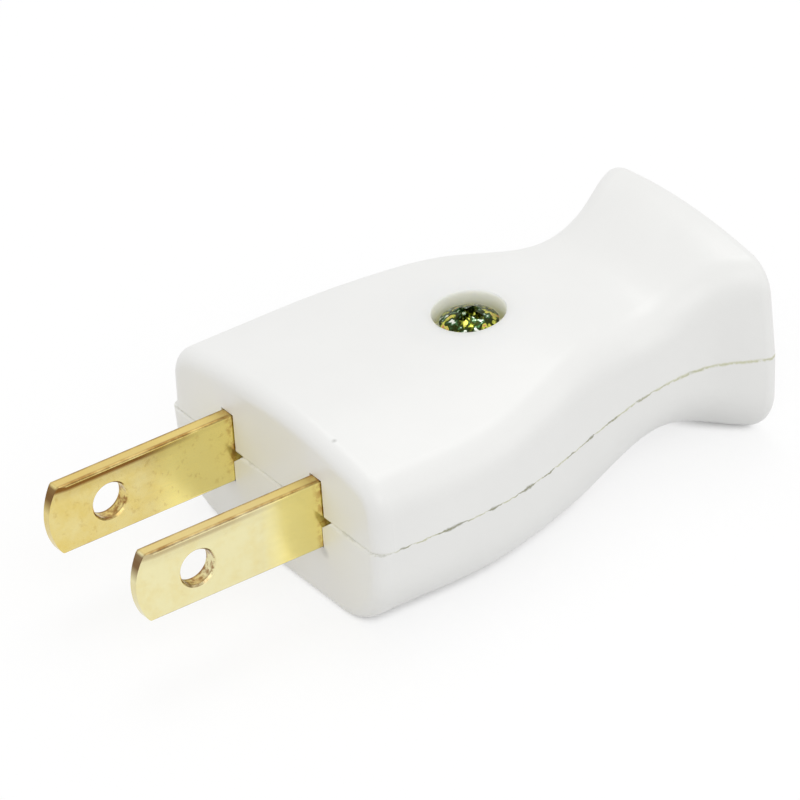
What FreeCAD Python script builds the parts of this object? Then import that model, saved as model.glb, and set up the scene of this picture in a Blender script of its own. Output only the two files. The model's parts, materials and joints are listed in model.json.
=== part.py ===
"""Two-blade mains plug: a rewirable casing in two moulded halves, held by one screw. Millimetres.

The origin is the middle of the face that meets the socket, halfway between the blades and at half
their height. The blades point along -Y, the cord enters at the +Y end, X runs from blade to blade
and +Z is up, on the side of the casing screw.
"""
import FreeCAD, Part
import math
import os
from collections import namedtuple

Vector = FreeCAD.Vector

# Blades, to the two-pin pattern of the socket
blade_spacing = 12.7
blade_width = 6.3
blade_thickness = 1.4
blade_length = 17.7
blade_edge_radius = 0.25
tip_radius = 5.6
tip_corner_radius = 0.5
tip_bevel_length = 1.8
tip_thickness = 0.8
blade_hole_radius = 1.6
blade_hole_rim = 0.15
blade_hole_distance = 12.0

# Terminal at the inner end of each blade
bend_radius = 0.2
tab_length = 7.8
tab_leg_top = -1.0
neck_length = 2.4
neck_shoulder = 0.8
neck_overlap = 0.4
terminal_washer_side = 5.4
terminal_washer_thickness = 0.8
terminal_washer_corner = 0.7
terminal_screw_radius = 1.5
terminal_head_radius = 2.7
terminal_head_height = 1.9
terminal_screw_tail = 1.8

# Clearances
slot_gap = 0.13
slot_top_gap = 0.04
seat_gap = 0.05
washer_gap = 0.05
tab_side_gap = 0.6
thread_gap = 0.03
shank_gap = 0.2
nut_gap = 0.08
head_gap = 0.6
clamp_end_gap = 0.6

# Casing outline, along the plug and up from the blades' mid-height
casing_length = 42.1
wall = 1.8
front_wall = 2.6
tail_wall = 2.2
parting_z = -0.25
shoulder_y = 8.9
crest_y = 22.4
dip_y = 31.7
waist_y = 35.0
flare_y = 44.0
belly_y = 23.5
hollow_y = 32.4
waist_half_width = 8.9
flare_half_width = 12.25
front_top = 7.25
crest_top = 7.8
waist_top = 6.4
tail_top = 9.2
rest_z = -8.5
waist_bottom = -7.25
rest_skim = 0.2
station_count = 14

# Casing cross-section and edges
crown_radius = 55.0
upper_corner_radius = 3.2
lower_corner_radius = 6.2
lower_tail_corner_radius = 5.0
upper_draft = math.radians(1.4)
lower_draft = math.radians(5.7)
upper_front_radius = 1.5
lower_front_radius = 1.2
tail_edge_radius = 0.9
tail_land = 1.0
front_step = 0.2
front_lip_radius = 0.35

# Blade slots in the front wall
slot_flare_width = 1.2
slot_flare_depth = 0.95

# Casing screw and nut
casing_screw_y = 19.7
casing_screw_turn = 20
casing_screw_radius = 1.5
casing_head_radius = 2.45
casing_head_height = 1.8
head_depth = 1.9
counterbore_lip = 0.5
boss_wall = 1.7
nut_across_flats = 5.5
nut_height = 2.4
nut_face_radius = 2.6
nut_recess = 2.0

# Ribs inside the casing
rib = 1.2
barrier = 1.2

# Cord inlet and cord clamp
inlet_radius = 4.0
inlet_lip = 0.8
clamp_y = 31.5
clamp_width = 5.0
clamp_thickness = 1.6
clamp_groove = 0.5
clamp_post_radius = 2.0
clamp_post_drop = 0.4
clamp_opening = 3.4
clamp_screw_radius = 1.3
clamp_head_radius = 2.2
clamp_head_height = 1.6
clamp_screw_bite = 3.9
clamp_pilot_spare = 0.4

# Pan-head screws, as shares of the head's and the shank's sizes
head_edge_share = 0.55
shank_point_share = 0.3
cross_reach_share = 0.58
cross_width_share = 0.16
cross_depth_share = 0.6
cross_overrun = 0.1

# Distance that a cutter runs past the surface it cuts, and the nearness that counts as touching
run_out = 1.0
touch = 1e-4

# Sizes that follow from the ones above
blade_x = blade_spacing / 2
blade_bottom = -blade_width / 2
tab_top = blade_bottom + blade_thickness
terminal_x = blade_x + blade_thickness / 2 + bend_radius + washer_gap + terminal_washer_side / 2
terminal_y = front_wall + tab_length / 2
tab_reach = terminal_x + terminal_washer_side / 2
tab_rear = front_wall + tab_length
shoulder_half_width = tab_reach + tab_side_gap + wall
counterbore_radius = casing_head_radius + head_gap
boss_radius = counterbore_radius + boss_wall
clamp_bottom = parting_z - clamp_post_drop
clamp_top = clamp_bottom + clamp_thickness
nut_bottom = rest_z + nut_recess

Half = namedtuple("Half", [
    "sign", "level", "draft", "corner_radius", "tail_corner_radius", "crown_radius",
    "front_y", "front_radius",
])


def ease(y, start, end, before, after):
    """Value that swings smoothly from one level to another between two places along the plug."""
    share = min(max((y - start) / (end - start), 0), 1)
    return before + (after - before) * (1 - math.cos(math.pi * share)) / 2


def half_width(y):
    """Half the casing's width at the parting plane: broad shoulders, a waist, a tail in mid-flare."""
    if y < waist_y:
        return ease(y, shoulder_y, waist_y, shoulder_half_width, waist_half_width)
    return ease(y, waist_y, flare_y, waist_half_width, flare_half_width)


def top_level(y):
    """Height of the casing's upper ridge."""
    if y < crest_y:
        return ease(y, shoulder_y, crest_y, front_top, crest_top)
    if y < dip_y:
        return ease(y, crest_y, dip_y, crest_top, waist_top)
    return ease(y, dip_y, casing_length - tail_land, waist_top, tail_top)


def bottom_level(y):
    """Height of the casing's underside, a little proud of the faces that it is skimmed to."""
    proud = rest_z - rest_skim
    if y < hollow_y:
        return ease(y, belly_y, hollow_y, proud, waist_bottom)
    return ease(y, hollow_y, casing_length, waist_bottom, proud)


UPPER = Half(1, top_level, upper_draft, upper_corner_radius, upper_corner_radius,
             crown_radius, 0, upper_front_radius)
LOWER = Half(-1, bottom_level, lower_draft, lower_corner_radius, lower_tail_corner_radius,
             None, -front_step, lower_front_radius)


def line(start, end):
    return Part.LineSegment(start, end).toShape()


def arc(start, middle, end):
    return Part.Arc(start, middle, end).toShape()


def box(x0, x1, y0, y1, z0, z1):
    return Part.makeBox(x1 - x0, y1 - y0, z1 - z0, Vector(x0, y0, z0))


def slab(y0, y1, z0, z1):
    """Box wide enough to reach past both sides of the casing."""
    return box(-casing_length, casing_length, y0, y1, z0, z1)


def cylinder(radius, x, y, z0, z1):
    return Part.makeCylinder(radius, z1 - z0, Vector(x, y, z0))


def prism(points, depth):
    """Solid swept from a closed outline of straight sides along a direction."""
    return Part.Face(Part.makePolygon(points + points[:1])).extrude(depth)


def mirrored(shape):
    """The same piece for the other side of the plug."""
    return shape.mirror(Vector(0, 0, 0), Vector(1, 0, 0))


def section(half, y, inset, overlap):
    """Cross-section of one half of the casing: drafted sides, round corners, crowned or flat back.

    The inset shrinks it evenly, and the overlap carries its sides on past the parting plane.
    """
    width = half_width(y) - inset
    height = half.sign * (half.level(y) - parting_z) - inset
    corner = ease(y, waist_y, casing_length, half.corner_radius, half.tail_corner_radius) - inset
    normal = Vector(math.cos(half.draft), 0, math.sin(half.draft))
    along = Vector(-math.sin(half.draft), 0, math.cos(half.draft))
    foot = Vector(width, 0, 0) - along * overlap
    centre = Vector(width, 0, 0) - normal * corner
    if half.crown_radius:
        crown = half.crown_radius - inset
        crown_centre = Vector(0, 0, height - crown)
        offset = centre - crown_centre
        lean = offset.dot(along)
        rise = math.sqrt(lean ** 2 - offset.dot(offset) + (crown - corner) ** 2) - lean
        centre = centre + along * rise
        outward = (centre - crown_centre).normalize()
    else:
        centre = centre + along * ((height - corner - centre.z) / along.z)
        outward = Vector(0, 0, 1)
    side = centre + normal * corner
    bend = centre + (normal + outward).normalize() * corner
    shoulder = centre + outward * corner

    def placed(point, hand):
        return Vector(hand * point.x, y, parting_z + half.sign * point.z)

    right = [placed(point, 1) for point in (foot, side, bend, shoulder)]
    left = [placed(point, -1) for point in (foot, side, bend, shoulder)]
    ridge = placed(Vector(0, 0, height), 1)
    back = arc(right[3], ridge, left[3]) if half.crown_radius else line(right[3], left[3])
    return Part.Wire([
        line(right[0], right[1]),
        arc(right[1], right[2], right[3]),
        back,
        arc(left[3], left[2], left[1]),
        line(left[1], left[0]),
        line(left[0], right[0]),
    ])


def loft(half, inset, overlap):
    """One half of the casing's form, lofted through cross-sections set closer towards both ends."""
    turns = [math.pi * number / (station_count - 1) for number in range(station_count)]
    length = casing_length - half.front_y
    stations = [half.front_y + length * (1 - math.cos(turn)) / 2 for turn in turns]
    return Part.makeLoft([section(half, y, inset, overlap) for y in stations], True)


def rim_edges(solid, test):
    """Edges whose ends and middle all pass a test."""
    found = []
    for edge in solid.Edges:
        places = [vertex.Point for vertex in edge.Vertexes]
        places.append(edge.valueAt((edge.FirstParameter + edge.LastParameter) / 2))
        if all(test(place) for place in places):
            found.append(edge)
    return found


def rounded_form(half):
    """Outside of one half, with its front and tail edges rounded and its underside skimmed flat."""
    form = loft(half, 0, 0)
    for y, radius in ((half.front_y, half.front_radius), (casing_length, tail_edge_radius)):
        ends = rim_edges(form, lambda place: abs(place.y - y) < touch)
        ends = [edge for edge in ends if abs(edge.CenterOfMass.z - parting_z) > touch]
        form = form.makeFillet(radius, ends)
    if half.sign < 0:
        form = form.cut(slab(-run_out, casing_length + run_out, rest_z - run_out, rest_z))
        form = form.cut(front_lip())
    return form


def front_lip():
    """Waste outside the rounded upper edge of the lower half's front, which stands a step ahead."""
    slant = math.sqrt(0.5)
    low = parting_z - front_lip_radius
    centre = Vector(-casing_length, front_lip_radius - front_step, low)
    foot = Vector(-casing_length, -front_step, low)
    crest = Vector(-casing_length, centre.y, parting_z)
    bend = centre + Vector(0, -slant, slant) * front_lip_radius
    above = Vector(-casing_length, centre.y, parting_z + run_out)
    outer_top = Vector(-casing_length, -front_step - run_out, parting_z + run_out)
    outer_foot = Vector(-casing_length, -front_step - run_out, low)
    outline = Part.Wire([
        arc(foot, bend, crest),
        line(crest, above),
        line(above, outer_top),
        line(outer_top, outer_foot),
        line(outer_foot, foot),
    ])
    return Part.Face(outline).extrude(Vector(2 * casing_length, 0, 0))


def cavity(half):
    """Hollow of one half, between the front wall and the tail wall."""
    hollow = loft(half, wall, run_out)
    return hollow.common(slab(front_wall, casing_length - tail_wall, -casing_length, casing_length))


def rooted(half, parts):
    """Ribs and bosses of one half, cut off halfway through its wall so that they root in it."""
    return parts.common(loft(half, wall / 2, 0))


def inlet():
    """Round way for the cord through the tail wall, with a bell mouth."""
    start = casing_length - tail_wall - run_out
    lip_start = casing_length - inlet_lip
    outside = casing_length + run_out
    mouth = inlet_radius + inlet_lip
    slant = math.sqrt(0.5)
    bend = Vector(0, lip_start, mouth) + Vector(0, slant, -slant) * inlet_lip
    outline = Part.Wire([
        line(Vector(0, start, 0), Vector(0, start, inlet_radius)),
        line(Vector(0, start, inlet_radius), Vector(0, lip_start, inlet_radius)),
        arc(Vector(0, lip_start, inlet_radius), bend, Vector(0, casing_length, mouth)),
        line(Vector(0, casing_length, mouth), Vector(0, outside, mouth)),
        line(Vector(0, outside, mouth), Vector(0, outside, 0)),
        line(Vector(0, outside, 0), Vector(0, start, 0)),
    ])
    way = Part.Face(outline).revolve(Vector(0, 0, 0), Vector(0, 1, 0), 360)
    return way.translate(Vector(0, 0, parting_z))


def counterbore():
    """Recess for the casing screw's head, with a softly rounded rim."""
    rim_z = top_level(casing_screw_y) + counterbore_lip / 2
    lip_z = rim_z - counterbore_lip
    lip_centre = Vector(counterbore_radius + counterbore_lip, 0, lip_z)
    slant = math.sqrt(0.5)
    bend = lip_centre + Vector(-slant, 0, slant) * counterbore_lip
    mouth = lip_centre + Vector(0, 0, counterbore_lip)
    floor = casing_seat_z()
    outline = Part.Wire([
        line(Vector(0, 0, floor), Vector(counterbore_radius, 0, floor)),
        line(Vector(counterbore_radius, 0, floor), Vector(counterbore_radius, 0, lip_z)),
        arc(Vector(counterbore_radius, 0, lip_z), bend, mouth),
        line(mouth, Vector(0, 0, rim_z)),
        line(Vector(0, 0, rim_z), Vector(0, 0, floor)),
    ])
    recess = Part.Face(outline).revolve(Vector(0, 0, 0), Vector(0, 0, 1), 360)
    return recess.translate(Vector(0, casing_screw_y, 0))


def casing_seat_z():
    """Level of the shoulder that the casing screw's head pulls against."""
    return top_level(casing_screw_y) - head_depth


def casing_shank_way():
    """Clearance hole for the casing screw's shank through both halves."""
    return cylinder(casing_screw_radius + shank_gap, 0, casing_screw_y, rest_z, tail_top)


def hexagon(across_flats, z0, z1):
    corner = across_flats / math.sqrt(3)
    points = []
    for number in range(6):
        angle = math.radians(60 * number)
        points.append(Vector(corner * math.cos(angle), casing_screw_y + corner * math.sin(angle), z0))
    return prism(points, Vector(0, 0, z1 - z0))


def blade_slot(half):
    """Slot through the front wall for one blade, open at the parting plane and flared there below it."""
    inside = front_wall + run_out
    if half.sign > 0:
        reach = blade_thickness / 2 + slot_gap
        top = blade_width / 2 + slot_top_gap
        return box(blade_x - reach, blade_x + reach, -run_out, inside, parting_z - run_out, top)
    reach = blade_thickness / 2 + seat_gap
    above = parting_z + run_out
    slot = box(blade_x - reach, blade_x + reach, -run_out, inside, blade_bottom, above)
    wide = reach + slot_flare_width * (1 + run_out / slot_flare_depth)
    flare = [
        Vector(blade_x - wide, -run_out, above),
        Vector(blade_x + wide, -run_out, above),
        Vector(blade_x + reach, -run_out, parting_z - slot_flare_depth),
        Vector(blade_x - reach, -run_out, parting_z - slot_flare_depth),
    ]
    return slot.fuse(prism(flare, Vector(0, inside + run_out, 0)))


def terminal_seats():
    """Ribs under one terminal tab, the rear one stepped up behind it as a stop."""
    inner = blade_x - blade_thickness / 2
    outer = shoulder_half_width
    front = box(inner, outer, front_wall - rib / 2, front_wall + rib, rest_z, blade_bottom)
    rear = [
        Vector(inner, tab_rear - rib, rest_z),
        Vector(inner, tab_rear - rib, blade_bottom),
        Vector(inner, tab_rear, blade_bottom),
        Vector(inner, tab_rear, tab_top + blade_thickness / 2),
        Vector(inner, tab_rear + rib, tab_top + blade_thickness / 2),
        Vector(inner, tab_rear + rib, rest_z),
    ]
    return front.fuse(prism(rear, Vector(outer - inner, 0, 0)))


def clamp_x():
    """Distance of each clamp screw from the middle, set by the width inside the waist."""
    return half_width(clamp_y) - wall - clamp_end_gap - clamp_post_radius


def clamp_post():
    return cylinder(clamp_post_radius, clamp_x(), clamp_y, rest_z, clamp_bottom)


def clamp_pilot():
    """Hole in a clamp post for its screw, a little deeper than the screw reaches."""
    low = clamp_bottom - clamp_screw_bite - clamp_pilot_spare
    return cylinder(clamp_screw_radius + thread_gap, clamp_x(), clamp_y, low, clamp_bottom + run_out)


def clamp_saddle():
    """Rib across the cord's way that the clamp presses the cord onto."""
    reach = clamp_x()
    top = clamp_bottom - clamp_opening
    return box(-reach, reach, clamp_y - rib / 2, clamp_y + rib / 2, rest_z, top)


def barrier_rib(low, high):
    """Wall between the two terminals, from the front wall to the screw boss."""
    return box(-barrier / 2, barrier / 2, front_wall - rib / 2, casing_screw_y, low, high)


def upper_casing():
    form = rounded_form(UPPER)
    boss = cylinder(boss_radius, 0, casing_screw_y, parting_z, tail_top)
    inside = boss.fuse(barrier_rib(parting_z, tail_top))
    casing = form.cut(cavity(UPPER)).fuse(rooted(UPPER, inside))
    casing = casing.cut(counterbore()).cut(casing_shank_way())
    for slot in (blade_slot(UPPER), mirrored(blade_slot(UPPER))):
        casing = casing.cut(slot)
    return casing.cut(inlet())


def lower_casing():
    form = rounded_form(LOWER)
    side_parts = terminal_seats().fuse(clamp_post())
    middle_parts = cylinder(boss_radius, 0, casing_screw_y, rest_z, parting_z)
    middle_parts = middle_parts.fuse([barrier_rib(rest_z, parting_z), clamp_saddle()])
    inside = middle_parts.fuse([side_parts, mirrored(side_parts)])
    casing = form.cut(cavity(LOWER)).fuse(rooted(LOWER, inside))
    pocket = hexagon(nut_across_flats + 2 * nut_gap, rest_z - run_out, nut_bottom + nut_height)
    casing = casing.cut(casing_shank_way()).cut(pocket)
    for cutter in (blade_slot(LOWER), clamp_pilot()):
        casing = casing.cut(cutter).cut(mirrored(cutter))
    return casing.cut(inlet())


def blade_strip():
    """Flat of the blade: rounded edges, a bowed and bevelled tip and a neck down to the terminal tab."""
    half_thick = blade_thickness / 2
    half_wide = blade_width / 2
    rear = front_wall + neck_length
    stock = box(-half_thick, half_thick, -blade_length, rear, -half_wide, half_wide)
    long_edges = [edge for edge in stock.Edges if abs(edge.tangentAt(0).y) > 0.5]
    stock = stock.makeFillet(blade_edge_radius, long_edges)

    tip_sag = tip_radius - math.sqrt(tip_radius ** 2 - half_wide ** 2)
    tip_y = -blade_length + tip_sag
    neck_y = front_wall + neck_shoulder
    neck_low = tab_leg_top - neck_overlap

    def flat(y, z):
        return Vector(-blade_thickness, y, z)

    outline = Part.Wire([
        arc(flat(tip_y, half_wide), flat(-blade_length, 0), flat(tip_y, -half_wide)),
        line(flat(tip_y, -half_wide), flat(front_wall, -half_wide)),
        line(flat(front_wall, -half_wide), flat(front_wall, neck_low)),
        line(flat(front_wall, neck_low), flat(rear, neck_low)),
        line(flat(rear, neck_low), flat(rear, tab_leg_top)),
        line(flat(rear, tab_leg_top), flat(neck_y, half_wide)),
        line(flat(neck_y, half_wide), flat(tip_y, half_wide)),
    ])
    plate = Part.Face(outline).extrude(Vector(2 * blade_thickness, 0, 0))
    corners = rim_edges(plate, lambda place: abs(place.y - tip_y) < touch and abs(place.z) > half_wide / 2)
    strip = stock.common(plate.makeFillet(tip_corner_radius, corners))

    bevel_y = -blade_length + tip_bevel_length
    taper = [
        Vector(-tip_thickness / 2, -blade_length, -blade_width),
        Vector(tip_thickness / 2, -blade_length, -blade_width),
        Vector(half_thick, bevel_y, -blade_width),
        Vector(half_thick, rear, -blade_width),
        Vector(-half_thick, rear, -blade_width),
        Vector(-half_thick, bevel_y, -blade_width),
    ]
    return strip.common(prism(taper, Vector(0, 0, 2 * blade_width)))


def terminal_tab():
    """Tab folded outward from the blade's lower edge, carrying the terminal screw."""
    half_thick = blade_thickness / 2
    outside = bend_radius + blade_thickness
    reach = tab_reach - blade_x
    slant = math.sqrt(0.5)
    inner_centre = Vector(half_thick + bend_radius, front_wall, tab_top + bend_radius)
    diagonal = Vector(-slant, 0, -slant)
    points = [
        Vector(-half_thick, front_wall, tab_leg_top),
        Vector(-half_thick, front_wall, inner_centre.z),
        Vector(inner_centre.x, front_wall, blade_bottom),
        Vector(reach, front_wall, blade_bottom),
        Vector(reach, front_wall, tab_top),
        Vector(inner_centre.x, front_wall, tab_top),
        Vector(half_thick, front_wall, inner_centre.z),
        Vector(half_thick, front_wall, tab_leg_top),
    ]
    outline = Part.Wire([
        line(points[0], points[1]),
        arc(points[1], inner_centre + diagonal * outside, points[2]),
        line(points[2], points[3]),
        line(points[3], points[4]),
        line(points[4], points[5]),
        arc(points[5], inner_centre + diagonal * bend_radius, points[6]),
        line(points[6], points[7]),
        line(points[7], points[0]),
    ])
    return Part.Face(outline).extrude(Vector(0, tab_length, 0))


def blade_hole():
    """Detent hole near the tip, its rims eased on both faces."""
    half_thick = blade_thickness / 2
    axis = Vector(1, 0, 0)
    start = Vector(-blade_thickness, -blade_hole_distance, 0)
    hole = Part.makeCylinder(blade_hole_radius, 2 * blade_thickness, start, axis)
    for side in (-1, 1):
        start = Vector(side * (half_thick - blade_hole_rim), -blade_hole_distance, 0)
        wide = blade_hole_radius + 2 * blade_hole_rim
        hole = hole.fuse(Part.makeCone(blade_hole_radius, wide, 2 * blade_hole_rim, start, axis * side))
    return hole


def blade():
    """Right-hand blade, stamped from one strip and folded at its inner end."""
    piece = blade_strip().fuse(terminal_tab()).cut(blade_hole())
    piece = piece.translate(Vector(blade_x, 0, 0))
    return piece.cut(terminal_way(thread_gap))


def terminal_way(gap):
    """Hole for the terminal screw through the tab or its washer."""
    return cylinder(terminal_screw_radius + gap, terminal_x, terminal_y, rest_z, tail_top)


def terminal_washer():
    side = terminal_washer_side / 2
    plate = box(terminal_x - side, terminal_x + side, terminal_y - side, terminal_y + side,
                tab_top, tab_top + terminal_washer_thickness)
    upright = [edge for edge in plate.Edges if abs(edge.tangentAt(0).z) > 0.5]
    plate = plate.makeFillet(terminal_washer_corner, upright)
    return plate.cut(terminal_way(shank_gap))


def pan_screw(shank_radius, shank_length, head_radius, head_height):
    """Pan-head screw with a cross recess, its head seated on z = 0 and its shank pointing down."""
    edge_height = head_edge_share * head_height
    dome = head_height - edge_height
    dome_radius = (head_radius ** 2 + dome ** 2) / (2 * dome)
    half_angle = math.asin(head_radius / dome_radius) / 2
    sag = dome_radius * (1 - math.cos(half_angle))
    crown = Vector(dome_radius * math.sin(half_angle), 0, head_height - sag)
    point = shank_point_share * shank_radius
    outline = Part.Wire([
        line(Vector(0, 0, -shank_length), Vector(shank_radius - point, 0, -shank_length)),
        line(Vector(shank_radius - point, 0, -shank_length), Vector(shank_radius, 0, point - shank_length)),
        line(Vector(shank_radius, 0, point - shank_length), Vector(shank_radius, 0, 0)),
        line(Vector(shank_radius, 0, 0), Vector(head_radius, 0, 0)),
        line(Vector(head_radius, 0, 0), Vector(head_radius, 0, edge_height)),
        arc(Vector(head_radius, 0, edge_height), crown, Vector(0, 0, head_height)),
        line(Vector(0, 0, head_height), Vector(0, 0, -shank_length)),
    ])
    screw = Part.Face(outline).revolve(Vector(0, 0, 0), Vector(0, 0, 1), 360)
    arm = cross_reach_share * head_radius
    across = cross_width_share * head_radius
    depth = cross_depth_share * head_height
    wing = [
        Vector(-arm, -across, head_height + cross_overrun),
        Vector(arm, -across, head_height + cross_overrun),
        Vector(across, -across, head_height - depth),
        Vector(-across, -across, head_height - depth),
    ]
    recess = prism(wing, Vector(0, 2 * across, 0))
    turned = recess.copy().rotate(Vector(0, 0, 0), Vector(0, 0, 1), 90)
    return screw.cut(recess.fuse(turned))


def terminal_screw():
    seat = tab_top + terminal_washer_thickness
    length = seat - blade_bottom + terminal_screw_tail
    screw = pan_screw(terminal_screw_radius, length, terminal_head_radius, terminal_head_height)
    return screw.translate(Vector(terminal_x, terminal_y, seat))


def casing_screw():
    length = casing_seat_z() - nut_bottom
    screw = pan_screw(casing_screw_radius, length, casing_head_radius, casing_head_height)
    screw.rotate(Vector(0, 0, 0), Vector(0, 0, 1), casing_screw_turn)
    return screw.translate(Vector(0, casing_screw_y, casing_seat_z()))


def casing_nut():
    """Hexagon nut, its outer corners chamfered at 30 degrees."""
    nut = hexagon(nut_across_flats, nut_bottom, nut_bottom + nut_height)
    centre = Vector(0, casing_screw_y, nut_bottom)
    wide = nut_face_radius + nut_height / math.tan(math.radians(30))
    nut = nut.common(Part.makeCone(nut_face_radius, wide, nut_height, centre))
    return nut.cut(cylinder(casing_screw_radius + thread_gap, 0, casing_screw_y, rest_z, parting_z))


def cord_clamp():
    """Bar across the cord's way, round-ended, with a shallow groove on its underside."""
    half_wide = clamp_width / 2
    reach = clamp_x()
    middle = box(-reach, reach, clamp_y - half_wide, clamp_y + half_wide, clamp_bottom, clamp_top)
    ends = [cylinder(half_wide, side * reach, clamp_y, clamp_bottom, clamp_top) for side in (-1, 1)]
    bar = middle.fuse(ends).removeSplitter()
    trim = half_width(clamp_y) - wall - clamp_end_gap / 2
    bar = bar.common(box(-trim, trim, 0, casing_length, clamp_bottom, clamp_top))
    groove_half = reach - clamp_post_radius
    groove_radius = (groove_half ** 2 + clamp_groove ** 2) / (2 * clamp_groove)
    axis_start = Vector(0, 0, clamp_bottom + clamp_groove - groove_radius)
    bar = bar.cut(Part.makeCylinder(groove_radius, casing_length, axis_start, Vector(0, 1, 0)))
    for side in (-1, 1):
        bar = bar.cut(cylinder(clamp_screw_radius + shank_gap, side * reach, clamp_y, rest_z, tail_top))
    return bar


def clamp_screw():
    length = clamp_thickness + clamp_screw_bite
    screw = pan_screw(clamp_screw_radius, length, clamp_head_radius, clamp_head_height)
    return screw.translate(Vector(clamp_x(), clamp_y, clamp_top))


def write(name, shape):
    """Export one piece, which has to be a single sound solid."""
    solids = shape.Solids
    if len(solids) != 1 or not solids[0].isValid():
        raise ValueError(f"{name} is not one valid solid")
    solids[0].exportStep(f"parts/{name}.step")


os.makedirs("parts", exist_ok=True)
write("upper_casing", upper_casing())
write("lower_casing", lower_casing())
for make, name in ((blade, "blade"), (terminal_washer, "terminal_washer"),
                   (terminal_screw, "terminal_screw"), (clamp_screw, "clamp_screw")):
    piece = make()
    write(f"{name}_right", piece)
    write(f"{name}_left", mirrored(piece))
write("casing_screw", casing_screw())
write("casing_nut", casing_nut())
write("cord_clamp", cord_clamp())
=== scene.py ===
import json
import math

import bpy
from mathutils import Matrix, Vector

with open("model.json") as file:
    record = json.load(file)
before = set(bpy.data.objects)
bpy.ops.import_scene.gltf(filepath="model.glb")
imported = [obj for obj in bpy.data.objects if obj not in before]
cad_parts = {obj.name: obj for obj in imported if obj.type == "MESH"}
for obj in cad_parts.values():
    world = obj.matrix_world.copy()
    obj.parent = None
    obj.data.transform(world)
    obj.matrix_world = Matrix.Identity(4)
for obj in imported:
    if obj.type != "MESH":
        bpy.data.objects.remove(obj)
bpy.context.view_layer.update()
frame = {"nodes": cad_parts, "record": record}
nodes = frame["nodes"]

MM = 0.001

# Places on the plug that its finishes follow, in millimetres
PARTING_Z = -0.25
REST_Z = -8.5
WAIST_START_Y = 24.0
WAIST_END_Y = 34.0
SCREW_Y = 19.7
COUNTERBORE_RADIUS = 3.05
SCREW_HEAD_Z = 5.9
BLADE_X = 6.35
BLADE_HOLE_Y = -12.0
BLADE_HOLE_RADIUS = 1.6

# The photograph's view, in millimetres and radians: where the camera stands, and the lens for its picture
VIEW_AZIMUTH = math.radians(57.869)
VIEW_ELEVATION = math.radians(32.496)
VIEW_ROLL = math.radians(-4.504)
VIEW_DISTANCE = 842.83
VIEW_CENTRE = Vector((0, 15, 0))
VIEW_SHIFT_ACROSS = -2.175
VIEW_SHIFT_UP = 0.935
FOCAL_PIXELS = 10401.7
PICTURE_PIXELS = 800
SENSOR_WIDTH = 36

# Floor and light, in metres and watts: softboxes by name, with the place of each and its power
FLOOR_HALF_WIDTH = 2.0
FLOOR_GAP = 0.02 * MM
WORLD_LIGHT = 0.76
SOFTBOX_SIZE = 0.6
SOFTBOXES = {
    "rear_softbox": ((-0.3, 0.31, 0.91), 1.8),
    "right_softbox": ((0.72, -0.26, 0.64), 1.5),
    "tail_softbox": ((0.68, 0.68, 0.26), 0.7),
    "front_softbox": ((-0.2, -0.95, 0.26), 0.4),
}

# Specks of dirt on the casing's front, and a soft dark smudge under the near blade's root, in millimetres:
# place, radius, and how dark each is
SPECKS = (
    ((7.6, 1.3, 6.68), 0.28, 0.5),
    ((8.96, 0, -2.49), 0.16, 0.4),
    ((9.4, 0, -3.51), 0.2, 0.22),
    ((9.45, 0, -4.35), 0.24, 0.18),
    # Soft dark smudge just under the near blade's lower root corner
    ((7.2, 0, -3.5), 0.7, 0.4),
)

# Colours along the zinc's ramp, with the place of each: the passivation film's green, olive, gold and rose, a
# near white that is a painted highlight, and near blacks that are painted reflections of dark surroundings
FILM_AND_REFLECTION_COLOURS = (
    (0.36, "#E4E6DC"), (0.4, "#4E7A50"), (0.45, "#2F3E1E"), (0.52, "#2A2E12"), (0.56, "#6A7424"),
    (0.61, "#CED05C"), (0.7, "#C88A62"),
)


def linear(hex_colour):
    """Linear RGBA of an sRGB hex colour."""
    shares = [int(hex_colour[start:start + 2], 16) / 255 for start in (1, 3, 5)]
    return [s / 12.92 if s <= 0.04045 else ((s + 0.055) / 1.055) ** 2.4 for s in shares] + [1]


def add(tree, kind, inputs, out=0, **settings):
    """Add a shader node and return its output, if any; an input is a constant or the socket that feeds it."""
    made = tree.nodes.new("ShaderNode" + kind)
    for name, value in settings.items():
        setattr(made, name, value)
    for key, value in inputs.items():
        if isinstance(value, bpy.types.NodeSocket):
            tree.links.new(value, made.inputs[key])
        else:
            made.inputs[key].default_value = value
    return made.outputs[out] if made.outputs else None


def new_material(name):
    """Material with an empty tree, and the place on the plug that its patterns follow."""
    material = bpy.data.materials.new(name)
    material.use_nodes = True
    tree = material.node_tree
    tree.nodes.clear()
    return material, tree, add(tree, "NewGeometry", {}, "Position")


def per_mm(size):
    """Texture scale that gives features of about this many millimetres."""
    return 1 / (size * MM)


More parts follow.
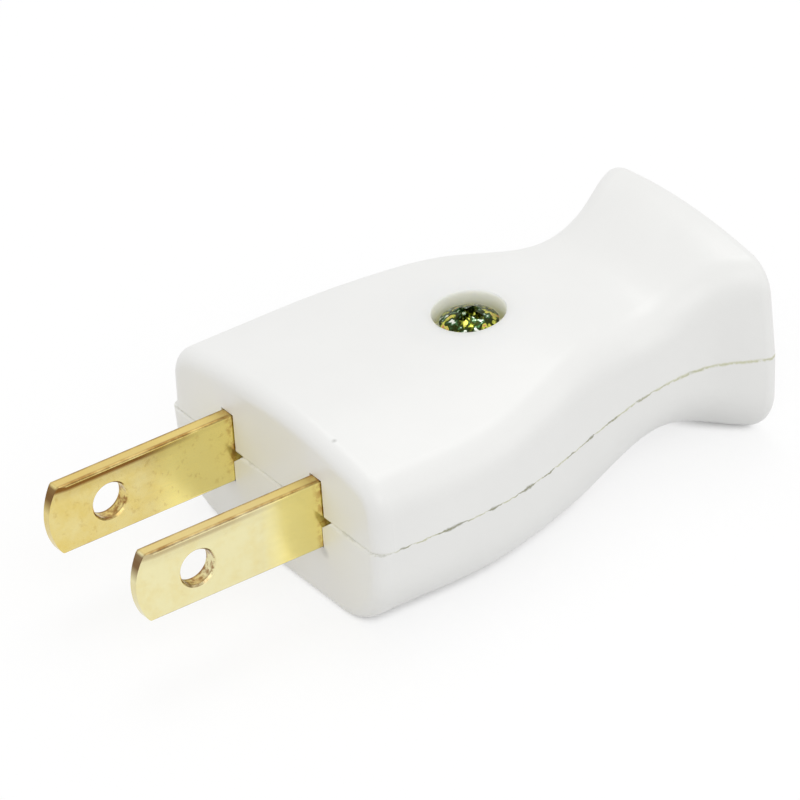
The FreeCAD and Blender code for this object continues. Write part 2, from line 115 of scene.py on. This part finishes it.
def moulded_white_abs():
    """ABS, injection moulded in a polished tool: neutral white with a satin gloss.

    It shows faint flow marks, a soft orange peel, and dirt caught along the joint of the two halves.
    """
    material, tree, place = new_material("moulded_white_abs")
    axes = add(tree, "SeparateXYZ", {"Vector": place}).node.outputs

    # Flow marks: slow drifts of tone, about a centimetre long
    flow = add(tree, "TexNoise", {"Vector": place, "Scale": per_mm(9), "Detail": 3.0, "Roughness": 0.55})
    tone = add(tree, "Mix", {
        "Factor": flow, "A": linear("#F0F0EE"), "B": linear("#EAEAE8"),
    }, "Result", data_type="RGBA")

    # Counterbore: near the rim its wall is painted whiter than the casing, as painted light, and deeper down
    # it turns olive, partly dust and partly a painted reflection of the yellow screw with painted shade, and
    # round it light soaks into the plastic, which softens the rim and lightens the wall
    from_axis = add(tree, "VectorMath", {0: place, 1: (0, SCREW_Y * MM, 0)}, operation="SUBTRACT")
    flat = add(tree, "VectorMath", {0: from_axis, 1: (1, 1, 0)}, operation="MULTIPLY")
    radius = add(tree, "VectorMath", {0: flat}, "Value", operation="LENGTH")
    cast = add(tree, "MapRange", {
        "Value": radius, "From Min": COUNTERBORE_RADIUS * MM, "From Max": (COUNTERBORE_RADIUS + 0.1) * MM,
        "To Min": 1.0, "To Max": 0.0,
    })
    depth = add(tree, "MapRange", {
        "Value": axes["Z"], "From Min": (SCREW_HEAD_Z - 0.8) * MM, "From Max": (SCREW_HEAD_Z + 0.8) * MM,
        "To Min": 0.9, "To Max": 0.15,
    })
    # Painted light near the top of the wall; lower down, a painted reflection of the screw and painted shade,
    # with some dust
    wall = add(tree, "Mix", {
        "Factor": depth, "A": linear("#FFFFF0"), "B": linear("#EAE8BA"),
    }, "Result", data_type="RGBA")
    tone = add(tree, "Mix", {"Factor": cast, "A": tone, "B": wall}, "Result", data_type="RGBA")
    soaked = add(tree, "MapRange", {
        "Value": radius, "From Min": 4.5 * MM, "From Max": 6 * MM, "To Min": 0.95, "To Max": 0.0,
    })

    # Joint: a ragged olive line of dirt, 0.2 mm wide and wider at the tail, faint on the front
    level = add(tree, "Math", {0: axes["Z"], 1: -PARTING_Z * MM}, operation="ADD")
    ragged = add(tree, "TexNoise", {"Vector": place, "Scale": per_mm(0.7), "Detail": 3.0, "Roughness": 0.7})
    strayed = add(tree, "MapRange", {
        "Value": ragged, "From Min": 0.3, "From Max": 0.7, "To Min": -0.1 * MM, "To Max": 0.1 * MM,
    })
    level = add(tree, "Math", {0: level, 1: strayed}, operation="ADD")
    off_joint = add(tree, "Math", {0: level}, operation="ABSOLUTE")
    line_half_width = add(tree, "MapRange", {
        "Value": axes["Y"], "From Min": WAIST_START_Y * MM, "From Max": WAIST_END_Y * MM,
        "To Min": 0.1 * MM, "To Max": 0.2 * MM,
    })
    line = add(tree, "MapRange", {
        "Value": off_joint, "From Min": 0.03 * MM, "From Max": line_half_width, "To Min": 0.8, "To Max": 0.0,
    })
    dirty = add(tree, "MapRange", {
        "Value": axes["Y"], "From Min": 0.5 * MM, "From Max": 2.5 * MM, "To Min": 0.2, "To Max": 1.0,
    })
    broken = add(tree, "MapRange", {
        "Value": ragged, "From Min": 0.36, "From Max": 0.5, "To Min": 0.3, "To Max": 1.0,
    })
    for share in (dirty, broken):
        line = add(tree, "Math", {0: line, 1: share}, operation="MULTIPLY")
    tone = add(tree, "Mix", {"Factor": line, "A": tone, "B": linear("#C6C6A0")}, "Result", data_type="RGBA")

    # Dashes of darker dirt on it, a few millimetres long, mostly ahead of the waist
    drawn_out = add(tree, "Mapping", {
        "Vector": place, "Location": (2 * MM, 9 * MM, 0), "Scale": (0.5, 0.5, 0),
    })
    dashes = add(tree, "TexNoise", {
        "Vector": drawn_out, "Scale": per_mm(1.3), "Detail": 2.0, "Roughness": 0.6,
    })
    spread = add(tree, "MapRange", {
        "Value": dashes, "From Min": 0.48, "From Max": 0.62, "To Min": 0.0, "To Max": 0.2 * MM,
    })
    dash_half_width = add(tree, "Math", {0: spread, 1: 0.01 * MM}, operation="ADD")
    dash = add(tree, "MapRange", {
        "Value": off_joint, "From Min": 0.0, "From Max": dash_half_width, "To Min": 0.9, "To Max": 0.0,
    })
    ahead = add(tree, "MapRange", {
        "Value": axes["Y"], "From Min": WAIST_START_Y * MM, "From Max": WAIST_END_Y * MM,
        "To Min": 1.0, "To Max": 0.25,
    })
    dash = add(tree, "Math", {0: dash, 1: ahead}, operation="MULTIPLY")
    dash = add(tree, "Math", {0: dash, 1: dirty}, operation="MULTIPLY")
    tone = add(tree, "Mix", {"Factor": dash, "A": tone, "B": linear("#7E7E66")}, "Result", data_type="RGBA")

    # Specks of dirt on the front, and a soft dark smudge under the near blade's root
    for speck, size, strength in SPECKS:
        spot = [length * MM for length in speck]
        distance = add(tree, "VectorMath", {0: place, 1: spot}, "Value", operation="DISTANCE")
        mark = add(tree, "MapRange", {
            "Value": distance, "From Min": 0.0, "From Max": size * MM, "To Min": strength, "To Max": 0.0,
        })
        tone = add(tree, "Mix", {
            "Factor": mark, "A": tone, "B": linear("#6B6B66"),
        }, "Result", data_type="RGBA")

    # Surface: an orange peel of 0.7 mm from the tool's polish, on sink waves of 7 mm, and a gloss that drifts
    peel = add(tree, "TexNoise", {"Vector": place, "Scale": per_mm(0.7), "Detail": 2.0})
    drift = add(tree, "TexNoise", {"Vector": place, "Scale": per_mm(5), "Detail": 4.0, "Roughness": 0.6})
    sunk = add(tree, "TexNoise", {"Vector": place, "Scale": per_mm(7), "Detail": 0.0})
    waves = add(tree, "Bump", {"Strength": 0.5, "Distance": 0.2 * MM, "Height": sunk})
    bump = add(tree, "Bump", {"Strength": 0.04, "Distance": 0.05 * MM, "Height": peel, "Normal": waves})
    rough = add(tree, "MapRange", {
        "Value": drift, "From Min": 0.3, "From Max": 0.7, "To Min": 0.29, "To Max": 0.4,
    })
    shader = add(tree, "BsdfPrincipled", {
        "Base Color": tone, "Roughness": rough, "IOR": 1.53, "Normal": bump,
        "Subsurface Weight": soaked, "Subsurface Radius": (1.0, 0.97, 0.9), "Subsurface Scale": 2.5 * MM,
    })
    add(tree, "OutputMaterial", {"Surface": shader})
    return material


def rolled_brass():
    """Brass strip, rolled bright, stamped and left unplated: pale yellow metal.

    The flats stay pale and clean, brighter gold towards the casing as a painted reflection, and brown tarnish
    keeps to the sheared edges and to the tip; a brown line runs under the upper edge.
    """
    material, tree, place = new_material("rolled_brass")
    axes = add(tree, "SeparateXYZ", {"Vector": place}).node.outputs
    normal = add(tree, "NewGeometry", {}, "Normal")
    facing = add(tree, "SeparateXYZ", {"Vector": normal}).node.outputs

    # Golden film in soft blotches, thick on the left blade, where the deeper gold is partly tarnish and
    # partly a painted reflection of the near blade's yellow, and bright towards the casing as a painted
    # reflection
    blotch = add(tree, "TexNoise", {"Vector": place, "Scale": per_mm(2.0), "Detail": 5.0, "Roughness": 0.65})
    # Painted reflection: the left blade's extra gold also stands in for the near blade's yellow reflected in
    # it
    left = add(tree, "MapRange", {
        "Value": axes["X"], "From Min": -BLADE_X * MM, "From Max": BLADE_X * MM, "To Min": 0.6, "To Max": 0.0,
    })
    uneven = add(tree, "MapRange", {
        "Value": blotch, "From Min": 0.3, "From Max": 0.7, "To Min": -0.15, "To Max": 0.25,
    })
    film_and_reflection = add(tree, "Math", {0: left, 1: uneven}, operation="ADD", use_clamp=True)
    tone = add(tree, "Mix", {
        "Factor": film_and_reflection, "A": linear("#EFE7B6"), "B": linear("#E4C865"),
    }, "Result", data_type="RGBA")
    # Painted reflection towards the casing: a brighter gold that stands in for warm light bounced between
    # blade and casing, its edge slanted on the left blade to follow where the reflection changes
    further = add(tree, "MapRange", {
        "Value": axes["X"], "From Min": -BLADE_X * MM, "From Max": BLADE_X * MM,
        "To Min": 2.5 * MM, "To Max": 0.0,
    })
    along = add(tree, "Math", {0: axes["Y"], 1: further}, operation="ADD")
    root_reflection = add(tree, "MapRange", {
        "Value": along, "From Min": -5.8 * MM, "From Max": -3.6 * MM, "To Min": 0.0, "To Max": 0.9,
    })
    tone = add(tree, "Mix", {"Factor": root_reflection, "A": tone, "B": linear("#FFEF98")}, "Result", data_type="RGBA")

    # Spots half a millimetre across, where the film has turned brown
    specks = add(tree, "TexNoise", {"Vector": place, "Scale": per_mm(0.6), "Detail": 3.0, "Roughness": 0.6})
    spots = add(tree, "MapRange", {
        "Value": specks, "From Min": 0.58, "From Max": 0.74, "To Min": 0.0, "To Max": 0.5,
    })
    spots = add(tree, "Math", {0: spots, 1: film_and_reflection}, operation="MULTIPLY")
    tone = add(tree, "Mix", {"Factor": spots, "A": tone, "B": linear("#B98A2E")}, "Result", data_type="RGBA")

    # Sheared edges: duller than the flats, with brown along their rounded corners
    upright = add(tree, "Math", {0: facing["Z"]}, operation="ABSOLUTE")
    edge = add(tree, "MapRange", {
        "Value": upright, "From Min": 0.75, "From Max": 0.97, "To Min": 0.0, "To Max": 0.8,
    })
    tone = add(tree, "Mix", {"Factor": edge, "A": tone, "B": linear("#CBB26C")}, "Result", data_type="RGBA")
    across = add(tree, "Math", {0: axes["X"]}, operation="ABSOLUTE")
    across = add(tree, "Math", {0: across, 1: -BLADE_X * MM}, operation="ADD")
    across = add(tree, "Math", {0: across}, operation="ABSOLUTE")
    border = add(tree, "MapRange", {
        "Value": across, "From Min": 0.3 * MM, "From Max": 0.48 * MM, "To Min": 0.0, "To Max": 0.85,
    })
    sloped = add(tree, "MapRange", {
        "Value": upright, "From Min": 0.4, "From Max": 0.6, "To Min": 0.0, "To Max": 1.0,
    })
    worn = add(tree, "MapRange", {
        "Value": blotch, "From Min": 0.35, "From Max": 0.6, "To Min": 0.4, "To Max": 1.0,
    })
    corner = add(tree, "Math", {0: border, 1: sloped}, operation="MULTIPLY")
    corner = add(tree, "Math", {0: corner, 1: worn}, operation="MULTIPLY")
    tone = add(tree, "Mix", {"Factor": corner, "A": tone, "B": linear("#7A4E1E")}, "Result", data_type="RGBA")

    # Brown line under the upper edge with a shade below it, strongest on the left blade, fading to the casing
    shade = add(tree, "MapRange", {
        "Value": axes["Z"], "From Min": 1.7 * MM, "From Max": 2.8 * MM, "To Min": 0.0, "To Max": 0.3,
    })
    line = add(tree, "MapRange", {
        "Value": axes["Z"], "From Min": 2.5 * MM, "From Max": 2.75 * MM, "To Min": 0.0, "To Max": 0.7,
    })
    line = add(tree, "Math", {0: shade, 1: line}, operation="ADD")
    fade = add(tree, "MapRange", {
        "Value": axes["Y"], "From Min": -9 * MM, "From Max": -3 * MM, "To Min": 0.95, "To Max": 0.1,
    })
    side = add(tree, "MapRange", {
        "Value": axes["X"], "From Min": -BLADE_X * MM, "From Max": BLADE_X * MM,
        "To Min": 1.0, "To Max": 0.45,
    })
    face = add(tree, "MapRange", {
        "Value": upright, "From Min": 0.1, "From Max": 0.5, "To Min": 1.0, "To Max": 0.0,
    })
    for share in (fade, side, face):
        line = add(tree, "Math", {0: line, 1: share}, operation="MULTIPLY")
    tone = add(tree, "Mix", {"Factor": line, "A": tone, "B": linear("#7E4C14")}, "Result", data_type="RGBA")

    # Tip: gold on the end face, turning brown towards its upper corner
    ahead = add(tree, "Math", {0: facing["Y"], 1: -1.0}, operation="MULTIPLY")
    end = add(tree, "MapRange", {
        "Value": ahead, "From Min": 0.55, "From Max": 0.9, "To Min": 0.0, "To Max": 0.9,
    })
    high = add(tree, "MapRange", {
        "Value": axes["Z"], "From Min": 0.8 * MM, "From Max": 2.0 * MM, "To Min": 0.15, "To Max": 1.0,
    })
    end = add(tree, "Math", {0: end, 1: high}, operation="MULTIPLY")
    tone = add(tree, "Mix", {"Factor": end, "A": tone, "B": linear("#643A14")}, "Result", data_type="RGBA")

    # Hole: brown patches on its wall
    off_hole = add(tree, "VectorMath", {0: place, 1: (0, BLADE_HOLE_Y * MM, 0)}, operation="SUBTRACT")
    off_axis = add(tree, "VectorMath", {0: off_hole, 1: (0, 1, 1)}, operation="MULTIPLY")
    from_hole = add(tree, "VectorMath", {0: off_axis}, "Value", operation="LENGTH")
    wall = add(tree, "MapRange", {
        "Value": from_hole, "From Min": (BLADE_HOLE_RADIUS + 0.03) * MM,
        "From Max": (BLADE_HOLE_RADIUS + 0.12) * MM, "To Min": 1.0, "To Max": 0.0,
    })
    patches = add(tree, "MapRange", {
        "Value": specks, "From Min": 0.45, "From Max": 0.6, "To Min": 0.0, "To Max": 0.8,
    })
    wall = add(tree, "Math", {0: wall, 1: patches}, operation="MULTIPLY")
    tone = add(tree, "Mix", {"Factor": wall, "A": tone, "B": linear("#8A5A28")}, "Result", data_type="RGBA")

    # Orange stain in patches right where the blade leaves the casing
    collar = add(tree, "MapRange", {
        "Value": axes["Y"], "From Min": -0.9 * MM, "From Max": -0.1 * MM, "To Min": 0.0, "To Max": 0.7,
    })
    collar = add(tree, "Math", {0: collar, 1: patches}, operation="MULTIPLY")
    tone = add(tree, "Mix", {"Factor": collar, "A": tone, "B": linear("#B8772C")}, "Result", data_type="RGBA")

    # Rolling lines along the strip, drawn several times coarser than real ones so that they show
    drawn_out = add(tree, "Mapping", {"Vector": place, "Scale": (1, 0.06, 1)})
    lines = add(tree, "TexNoise", {"Vector": drawn_out, "Scale": per_mm(0.3), "Detail": 3.0})
    rough = add(tree, "MapRange", {
        "Value": lines, "From Min": 0.3, "From Max": 0.7, "To Min": 0.16, "To Max": 0.26,
    })
    rough = add(tree, "Math", {0: edge, 1: 0.2, 2: rough}, operation="MULTIPLY_ADD")
    bump = add(tree, "Bump", {"Strength": 0.06, "Distance": 0.02 * MM, "Height": lines})
    shader = add(tree, "BsdfPrincipled", {
        "Base Color": tone, "Metallic": 1.0, "Roughness": rough, "Normal": bump,
    })
    add(tree, "OutputMaterial", {"Surface": shader})
    return material


def yellow_passivated_zinc():
    """Zinc plate on steel, yellow passivated: a thin film that shows olive, gold, green and rose, with
    painted highlights and painted dark reflections among its patches.
    """
    material, tree, place = new_material("yellow_passivated_zinc")
    film_and_reflection = add(tree, "TexNoise", {"Vector": place, "Scale": per_mm(0.8), "Detail": 2.0, "Distortion": 0.6})
    # The ramp mixes the real film colours with painted highlights and painted dark reflections
    ramp = add(tree, "ValToRGB", {"Fac": film_and_reflection})
    bands = ramp.node.color_ramp.elements
    bands.remove(bands[1])
    bands[0].position, bands[0].color = FILM_AND_REFLECTION_COLOURS[0][0], linear(FILM_AND_REFLECTION_COLOURS[0][1])
    for position, hex_colour in FILM_AND_REFLECTION_COLOURS[1:]:
        bands.new(position).color = linear(hex_colour)
    grain = add(tree, "TexNoise", {"Vector": place, "Scale": per_mm(0.45), "Detail": 2.0})
    rough = add(tree, "MapRange", {
        "Value": grain, "From Min": 0.3, "From Max": 0.7, "To Min": 0.08, "To Max": 0.2,
    })
    bump = add(tree, "Bump", {"Strength": 0.6, "Distance": 0.12 * MM, "Height": grain})
    shader = add(tree, "BsdfPrincipled", {
        "Base Color": ramp, "Metallic": 1.0, "Roughness": rough, "Normal": bump,
    })
    add(tree, "OutputMaterial", {"Surface": shader})
    return material


def bright_zinc_steel():
    """Bright zinc plate on steel: a cool grey metal with a fine spangle, on the fastenings inside."""
    material, tree, place = new_material("bright_zinc_steel")
    spangle = add(tree, "TexVoronoi", {"Vector": place, "Scale": per_mm(0.5)})
    rough = add(tree, "MapRange", {
        "Value": spangle, "From Min": 0.0, "From Max": 0.8, "To Min": 0.22, "To Max": 0.36,
    })
    drift = add(tree, "TexNoise", {"Vector": place, "Scale": per_mm(2), "Detail": 3.0})
    tone = add(tree, "Mix", {
        "Factor": drift, "A": linear("#D4D5D2"), "B": linear("#B9BCBD"),
    }, "Result", data_type="RGBA")
    shader = add(tree, "BsdfPrincipled", {"Base Color": tone, "Metallic": 1.0, "Roughness": rough})
    add(tree, "OutputMaterial", {"Surface": shader})
    return material


def vulcanised_fibre():
    """Vulcanised fibre, punched from sheet: matt red-brown with pressed fibres showing along it."""
    material, tree, place = new_material("vulcanised_fibre")
    drawn_out = add(tree, "Mapping", {"Vector": place, "Scale": (0.2, 1, 1)})
    fibres = add(tree, "TexNoise", {"Vector": drawn_out, "Scale": per_mm(0.4), "Detail": 4.0})
    tone = add(tree, "Mix", {
        "Factor": fibres, "A": linear("#6E2A1C"), "B": linear("#8E4430"),
    }, "Result", data_type="RGBA")
    bump = add(tree, "Bump", {"Strength": 0.2, "Distance": 0.05 * MM, "Height": fibres})
    shader = add(tree, "BsdfPrincipled", {"Base Color": tone, "Roughness": 0.7, "IOR": 1.5, "Normal": bump})
    add(tree, "OutputMaterial", {"Surface": shader})
    return material


def seen_directly(tree):
    """Socket that is 1 for the camera's own rays and for those that metal and glass send on."""
    path = add(tree, "LightPath", {}).node.outputs
    either = add(tree, "Math", {0: path["Is Camera Ray"], 1: path["Is Glossy Ray"]}, operation="MAXIMUM")
    return add(tree, "Math", {0: either, 1: path["Is Transmission Ray"]}, operation="MAXIMUM")


def white_card():
    """Matt white card under the plug: it shows white, with a faint shadow.

    Close under the plug, where little light gets in, it shows less of its white and the shadow deepens.
    """
    material, tree, _ = new_material("white_card")
    lit = add(tree, "BsdfDiffuse", {"Color": linear("#E4E4E4")})
    glow = add(tree, "Emission", {"Color": linear("#FFFFFF"), "Strength": 1.0})
    clean = add(tree, "BsdfDiffuse", {"Color": linear("#FFFFFF")})
    open_to_light = add(tree, "AmbientOcclusion", {"Distance": 1.2 * MM}, "AO", samples=8)
    share = add(tree, "MapRange", {
        "Value": open_to_light, "From Min": 0.0, "From Max": 0.4, "To Min": 0.0, "To Max": 0.78,
    })
    paled = add(tree, "MixShader", {0: share, 1: clean, 2: glow})
    shown = add(tree, "MixShader", {0: seen_directly(tree), 1: lit, 2: paled})
    add(tree, "OutputMaterial", {"Surface": shown})
    return material


def make_floor():
    """Square of white card, just clear of the face that the plug rests on."""
    half = FLOOR_HALF_WIDTH
    level = REST_Z * MM - FLOOR_GAP
    corners = [(-half, -half, level), (half, -half, level), (half, half, level), (-half, half, level)]
    mesh = bpy.data.meshes.new("card_floor")
    mesh.from_pydata(corners, [], [(0, 1, 2, 3)])
    mesh.materials.append(white_card())
    floor = bpy.data.objects.new("card_floor", mesh)
    bpy.context.scene.collection.objects.link(floor)


def make_world():
    """Even white surroundings, dimmer as a light than as a sight."""
    world = bpy.data.worlds.new("white_tent")
    world.use_nodes = True
    tree = world.node_tree
    tree.nodes.clear()
    light = add(tree, "Background", {"Color": linear("#FFFFFF"), "Strength": WORLD_LIGHT})
    sight = add(tree, "Background", {"Color": linear("#FFFFFF"), "Strength": 1.0})
    mixed = add(tree, "MixShader", {0: seen_directly(tree), 1: light, 2: sight})
    add(tree, "OutputWorld", {"Surface": mixed})
    bpy.context.scene.world = world


def make_softbox(name, place, power):
    """Square area lamp that faces the plug."""
    lamp = bpy.data.lights.new(name, "AREA")
    lamp.size = SOFTBOX_SIZE
    lamp.energy = power
    softbox = bpy.data.objects.new(name, lamp)
    softbox.location = place
    softbox.rotation_euler = (VIEW_CENTRE * MM - Vector(place)).to_track_quat("-Z", "Y").to_euler()
    bpy.context.scene.collection.objects.link(softbox)


def make_camera():
    """Camera with the photograph's view."""
    sine, cosine = math.sin(VIEW_AZIMUTH), math.cos(VIEW_AZIMUTH)
    rise, level = math.sin(VIEW_ELEVATION), math.cos(VIEW_ELEVATION)
    back = Vector((sine * level, -cosine * level, rise))
    right = Vector((cosine, sine, 0))
    up = back.cross(right)
    across = right * math.cos(VIEW_ROLL) + up * math.sin(VIEW_ROLL)
    upward = up * math.cos(VIEW_ROLL) - right * math.sin(VIEW_ROLL)
    aim = VIEW_CENTRE + across * VIEW_SHIFT_ACROSS + upward * VIEW_SHIFT_UP
    lens = bpy.data.cameras.new("photo_camera")
    lens.sensor_width = SENSOR_WIDTH
    lens.lens = FOCAL_PIXELS / PICTURE_PIXELS * SENSOR_WIDTH
    lens.clip_end = 10
    camera = bpy.data.objects.new("photo_camera", lens)
    turn = Matrix((across, upward, back)).transposed().to_4x4()
    camera.matrix_world = Matrix.Translation((aim + back * VIEW_DISTANCE) * MM) @ turn
    bpy.context.scene.collection.objects.link(camera)
    bpy.context.scene.camera = camera


finishes = {
    "casing_plastic": moulded_white_abs(),
    "blade_brass": rolled_brass(),
    "terminal_steel": bright_zinc_steel(),
    "casing_screw_zinc": yellow_passivated_zinc(),
    "clamp_fibre": vulcanised_fibre(),
}
for part in frame["record"]["subparts"]:
    nodes[part["node"]].data.materials.clear()
    nodes[part["node"]].data.materials.append(finishes[part["material_slot"]])

make_floor()
make_world()
for softbox_name, (softbox_place, softbox_power) in SOFTBOXES.items():
    make_softbox(softbox_name, softbox_place, softbox_power)
make_camera()
bpy.context.scene.view_settings.view_transform = "Standard"
